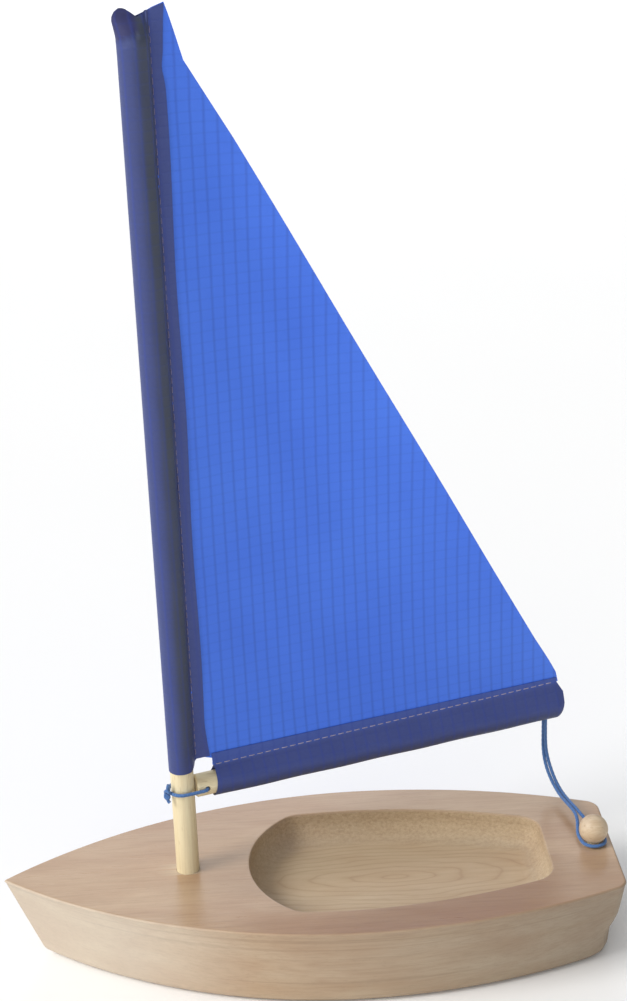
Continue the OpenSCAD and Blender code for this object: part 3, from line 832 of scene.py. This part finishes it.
def sleeve_section(r, seam, hem, n):
    """A cloth's way round a dowel, as distances along and across, and the length run.

    It starts at the hem's edge on the near side, passes the seam, and goes round the dowel to
    the seam on the far side."""
    slope = math.acos(min(1.0, r / seam))
    turns = np.linspace(-slope, -2 * math.pi + slope, n)
    along = np.concatenate([np.linspace(hem, seam, 9)[:-1], np.linspace(seam, r * math.cos(slope), 5)[:-1],
                            r * np.cos(turns), np.linspace(r * math.cos(slope), seam, 5)[1:]])
    across = np.concatenate([np.full(8, -HEM_LIFT),
                             np.linspace(-HEM_LIFT, -r * math.sin(slope), 5)[:-1],
                             r * np.sin(turns), np.linspace(r * math.sin(slope), 0.08 * MM, 5)[1:]])
    run = np.concatenate([[0], np.cumsum(np.hypot(np.diff(along), np.diff(across)))])
    return along, across, run


def panel_patch():
    rows, cols = 190, 96
    v = np.linspace(0, 1, rows)[:, None]
    u = np.linspace(0, 1, cols)[None, :]
    z = np.full((rows, cols), 0.0)
    r = np.full((rows, cols), 0.0)
    low = foot_seam_z(TACK_AT + (CLEW_AT - TACK_AT) * u)
    for _ in range(3):
        left = LUFF_SEAM + (TACK_AT - LUFF_SEAM) * np.clip((TACK_Z + 0.4 * MM - z) / (0.5 * MM), 0, 1)
        right = leech_at(z)
        r = left + (right - left) * u
        top = head_at(LUFF_SEAM + (HEAD[-1, 0] - LUFF_SEAM) * u)
        z = low + (top - low) * v
    return r, billow(r, z), z, r, z, np.zeros_like(r), np.zeros_like(r), np.zeros_like(r)


def luff_patch():
    n_round, rows = 56, 170
    v = np.linspace(0, 1, rows)[:, None]
    v = v + 0.10 * np.sin(math.pi * v) * v
    lines = []
    for share in v[:, 0]:
        r0 = LUFF_FOOT_R + (LUFF_TOP_R - LUFF_FOOT_R) * min(1.0, share) ** 0.8
        pull = 0.45 * MM * math.exp(-(((share - 0.88) / 0.045) ** 2))
        seam = max(LUFF_SEAM - 0.25 * MM + 0.25 * MM * share - pull, r0 + 0.03 * MM)
        lines.append(sleeve_section(r0, seam, LUFF_HEM, n_round))
    along = np.array([line[0] for line in lines])
    across = np.array([line[1] for line in lines])
    run = np.array([line[2] for line in lines])
    swollen = np.where(along < 0, along * 1.22, along)
    top = head_at(np.clip(swollen, HEAD[0, 0], HEAD[-1, 0]))
    near_foot = np.interp(along, [3 * MM, 5.0 * MM, 6.2 * MM],
                          [LUFF_FOOT_Z, LUFF_FOOT_Z + 1.2 * MM, TACK_Z])
    foot = np.where(across < -0.3 * MM, near_foot, LUFF_FOOT_Z)
    foot = np.where((across > -0.3 * MM) & (along > 5.0 * MM), TACK_Z, foot)
    z = foot + (top - foot) * v
    r, y = along.copy(), across.copy()
    # above the mast's top the sleeve closes and its front swells
    above = np.clip((z - (MAST_TOP - 1 * MM)) / (9 * MM), 0, 1)
    body = np.clip((LUFF_SEAM - r) / (1 * MM), 0, 1)
    y = y * (1 - 0.86 * above**1.3 * body)
    swell = np.interp(z, np.array([370, 374, 377, 380, 382.5, 384.5, 387]) * MM,
                      [0.0, 0.01, 0.03, 0.14, 0.235, 0.21, 0.12])
    r = np.where(r < 0, r * (1 + swell), r)
    # the hem's edge wanders a little, and is widest at its foot and its head
    hem = np.clip((r - LUFF_SEAM) / (LUFF_HEM - LUFF_SEAM), 0, 1) * (y < -0.2 * MM)
    r += hem * (0.35 * MM * np.sin(z * 60) + 1.6 * MM * np.clip((z - 368 * MM) / (19 * MM), 0, 1) ** 1.5
                + 1.9 * MM * np.clip((105 * MM - z) / (18 * MM), 0, 1) ** 1.5
                - 0.8 * MM * np.exp(-((z - 365 * MM) / (4 * MM)) ** 2))
    wrinkle = 0.16 * MM * np.sin(z * 210 + r * 300) + 0.10 * MM * np.sin(z * 95 + 2.0)
    y += (1 - np.clip(hem * 3, 0, 1)) * wrinkle * (y < 0)
    over_fold = (z - FOLD_Z) - (r + 3 * MM) * FOLD_SLOPE
    crease = np.exp(-(over_fold / (1.0 * MM)) ** 2) * (y < 0) * (r < 0.5 * MM)
    y += 0.8 * MM * crease
    angle = np.arctan2(-y, r)
    # painted shade: a dark band round the near side of the luff sleeve, where the mast inside blocks the
    # light through the cloth
    sleeve_shade = np.exp(-((angle - math.radians(58)) / math.radians(42)) ** 4) * (y < 0) * (r < LUFF_SEAM)
    sleeve_shade = sleeve_shade * np.clip((z - 84 * MM) / (14 * MM), 0, 1) * (0.92 - 0.22 * np.sin(z * 37 + 1) ** 2)
    # painted shade on the closed head above the fold; it is left off along the crease, which stays lighter as
    # a painted highlight
    head_shade = np.clip(over_fold / (1.5 * MM), 0, 1) * np.clip((2 * MM - r) / (2 * MM), 0, 1)
    dark = np.clip(head_shade * (y < 0.3 * MM) - 0.7 * crease, 0, 1)
    layer = np.where((r >= LUFF_SEAM - 0.1 * MM) & (y < 0), 1.0, 2.0)
    cloth_r = LUFF_SEAM - (run[:, -1:] - run)
    return r, y, z, cloth_r, z, layer, sleeve_shade, dark


def foot_patch():
    n_round, cols = 56, 150
    x = np.linspace(0, 1, cols)[:, None]
    lines = []
    for share in x[:, 0]:
        r0 = TACK_AT + (SLEEVE_END - TACK_AT) * share
        seam = foot_seam_z(r0) - BOOM_Z
        lines.append(sleeve_section(FOOT_SLEEVE_R, seam, FOOT_HEM_Z - BOOM_Z, n_round))
    along = np.array([line[0] for line in lines])
    y = np.array([line[1] for line in lines])
    run = np.array([line[2] for line in lines])
    hang = np.clip((0 - along) / FOOT_SLEEVE_R, 0, 1)
    z = BOOM_Z + along - 0.55 * MM * hang
    # the far end is slack: it slopes in under the clew
    end = SLEEVE_END - 3.9 * MM * np.clip((BOOM_Z + 3 * MM - z) / (8.5 * MM), 0, 1) ** 1.3
    end -= 2.5 * MM * np.clip((z - (BOOM_Z + 7 * MM)) / (4 * MM), 0, 1)
    start = TACK_AT + 0.5 * MM * np.sin((z - BOOM_Z) * 300)
    r = start + (end - start) * x
    y = y + 0.2 * MM * np.sin(r * 170 + z * 260) * (y < -0.5 * MM)
    close = np.clip((r - (SLEEVE_END - 4 * MM)) / (4 * MM), 0, 1)
    y = y * (1 - 0.25 * close**2)
    # painted shade on the lower near side of the foot sleeve, under the boom
    sleeve_shade = 0.75 * np.clip((BOOM_Z + 1 * MM - z) / (6 * MM), 0, 1) * (y < 0)
    # the layer values here set how dark the hem and sleeve are painted as shade
    layer = np.where((z > foot_seam_z(r) - 0.1 * MM) & (y < 0), 0.80, 1.35)
    cloth_z = foot_seam_z(r) - (run[:, -1:] - run)
    return r, y, z, r, cloth_z, layer, sleeve_shade, np.zeros_like(r)


def make_sail():
    verts, faces, cloth, layer, sleeve_shade, head_shade = [], [], [], [], [], []
    for r, y, z, s, t, lay, painted_shade, dark in (panel_patch(), luff_patch(), foot_patch()):
        patch_verts, patch_faces = shell(rig_point(r, y, z), CLOTH_T)
        faces += [tuple(i + len(verts) for i in face) for face in patch_faces]
        verts += list(patch_verts)
        flat = np.stack([s, t, np.zeros_like(s)], -1).reshape(-1, 3)
        cloth += [flat, flat]
        layer += [lay.ravel(), lay.ravel()]
        sleeve_shade += [painted_shade.ravel(), painted_shade.ravel()]
        head_shade += [dark.ravel(), dark.ravel()]
    sail = new_object("sail_cloth", verts, faces, CLOTH, 60)
    set_attribute(sail, "cloth", np.vstack(cloth))
    set_attribute(sail, "layer", np.concatenate(layer))
    set_attribute(sail, "sleeve_shade", np.concatenate(sleeve_shade))
    set_attribute(sail, "head_shade", np.concatenate(head_shade))
    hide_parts("sail")
    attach(sail, "rig")


def stitch_row(name, node, material, places):
    """Short stitches through the seam, one on each side of the cloth at every place."""
    verts, faces = [], []
    for start, end, out in places:
        start, end, out = np.array(start), np.array(end), np.array(out)
        for side in (1, -1):
            lift = 0.20 * MM * side * out
            path = [start, start + 0.12 * (end - start) + lift, (start + end) / 2 + 1.25 * lift,
                    end - 0.12 * (end - start) + lift, end]
            shape, quads, _ = swept(path, 8, lambda a, run: np.full(8, STITCH_R))
            faces += [tuple(i + len(verts) for i in quad) for quad in quads]
            verts += shape
    row = new_object(name, verts, faces, material, 70)
    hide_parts(node)
    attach(row, "rig")


def make_stitches():
    near = -HEM_LIFT
    length, pitch = STITCH_LENGTH, STITCH_PITCH
    at = LUFF_SEAM + 0.25 * MM
    middle = near / 2
    depth = -near / 2 + 0.12 * MM
    out = -ACROSS * (depth / (0.20 * MM))
    rows = [(rig_point(at, middle, z), rig_point(at, middle, z + length), out)
            for z in np.arange(89.5 * MM, 381 * MM, pitch)]
    stitch_row("luff_seam_thread", "luff_thread", LUFF_THREAD, rows)
    rows = []
    for r in np.arange(TACK_AT + 1.2 * MM, CLEW_AT - 3.5 * MM, pitch):
        rows.append((rig_point(r, middle, foot_seam_z(r) + 0.3 * MM),
                     rig_point(r + length, middle, foot_seam_z(r + length) + 0.3 * MM), out))
    stitch_row("foot_seam_thread", "foot_thread", FOOT_THREAD, rows)


make_sail()
make_stitches()

# ---- Floor and light ----


def make_floor():
    size = 9.0
    verts = [(-size, -size, 0), (size, -size, 0), (size, size, 0), (-size, size, 0)]
    material, nodes, links, main = shader("floor_paper")
    mottle = grain(nodes, links, (3.0, 3.0, 3.0), detail=2.0)
    paper = mix_colour(nodes, links, mottle, (0.94, 0.94, 0.94), (0.96, 0.96, 0.96))
    links.new(paper, main.inputs["Base Color"])
    main.inputs["Roughness"].default_value = 0.9
    main.inputs["Specular IOR Level"].default_value = 0.1
    floor = new_object("floor", verts, [(0, 1, 2, 3)], material)


def area_light(name, place, target, size, power, colour=(1, 1, 1)):
    data = bpy.data.lights.new(name, "AREA")
    data.shape = "DISK"
    data.size = size
    data.energy = power
    data.color = colour
    light = bpy.data.objects.new(name, data)
    light.location = place
    light.rotation_euler = (Vector(target) - Vector(place)).to_track_quat("-Z", "Y").to_euler()
    bpy.context.scene.collection.objects.link(light)


def make_light():
    world = bpy.data.worlds.new("studio")
    bpy.context.scene.world = world
    world.use_nodes = True
    nodes, links = world.node_tree.nodes, world.node_tree.links
    background = nodes["Background"]
    place = nodes.new("ShaderNodeTexCoord")
    split = nodes.new("ShaderNodeSeparateXYZ")
    links.new(place.outputs["Generated"], split.inputs[0])
    share = nodes.new("ShaderNodeMapRange")
    share.inputs["From Min"].default_value = -1.0
    share.inputs["From Max"].default_value = 1.0
    share.inputs["To Min"].default_value = 0.22
    share.inputs["To Max"].default_value = 0.95
    links.new(split.outputs[0], share.inputs["Value"])
    background.inputs["Color"].default_value = (0.98, 0.99, 1.0, 1.0)
    links.new(share.outputs[0], background.inputs["Strength"])
    sun = bpy.data.lights.new("key", "SUN")
    sun.energy = 1.95
    sun.angle = math.radians(28)
    sun.color = (1.0, 0.985, 0.96)
    light = bpy.data.objects.new("key", sun)
    light.rotation_euler = Vector((-1.15, -0.40, -1.0)).to_track_quat("-Z", "Y").to_euler()
    bpy.context.scene.collection.objects.link(light)
    area_light("fill", (0.6, 1.8, 0.8), (0, 0, 0.18), 1.6, 5)
    area_light("sheen_on_deck", (-0.05, -4.4, 2.05), (0, -0.03, 0.04), 2.5, 27, (0.92, 0.96, 1.0))


make_floor()
make_light()
bpy.context.scene.view_settings.view_transform = "Standard"
